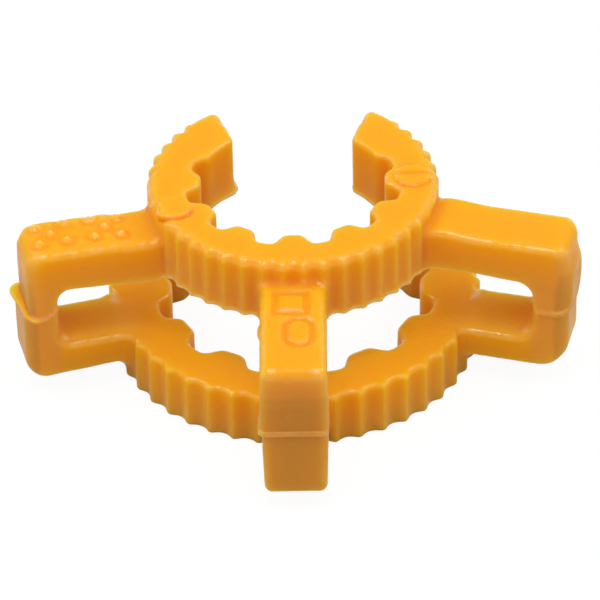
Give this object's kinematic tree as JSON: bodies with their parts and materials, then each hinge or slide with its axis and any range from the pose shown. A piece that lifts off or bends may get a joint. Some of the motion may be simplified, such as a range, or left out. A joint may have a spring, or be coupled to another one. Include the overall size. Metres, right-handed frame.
{
  "type": "ground glass joint clip",
  "caption": "One-piece moulded clip whose two open, toothed rings hold a ground glass joint together, joined by three slotted legs.",
  "frame": {"origin": "on the rings' common axis at the underside of the lower, larger ring", "axes": "+Z along the joint's axis from the larger to the smaller ring, front leg along -Y, mouth towards +Y, side legs across X"},
  "size_m": [0.0415, 0.0311, 0.0143],
  "materials": {
    "moulding": "glossy, slightly waxy moulded acetal"
  },
  "bodies": {
    "root": {"joint_clip": "moulding"}
  },
  "joints": []
}
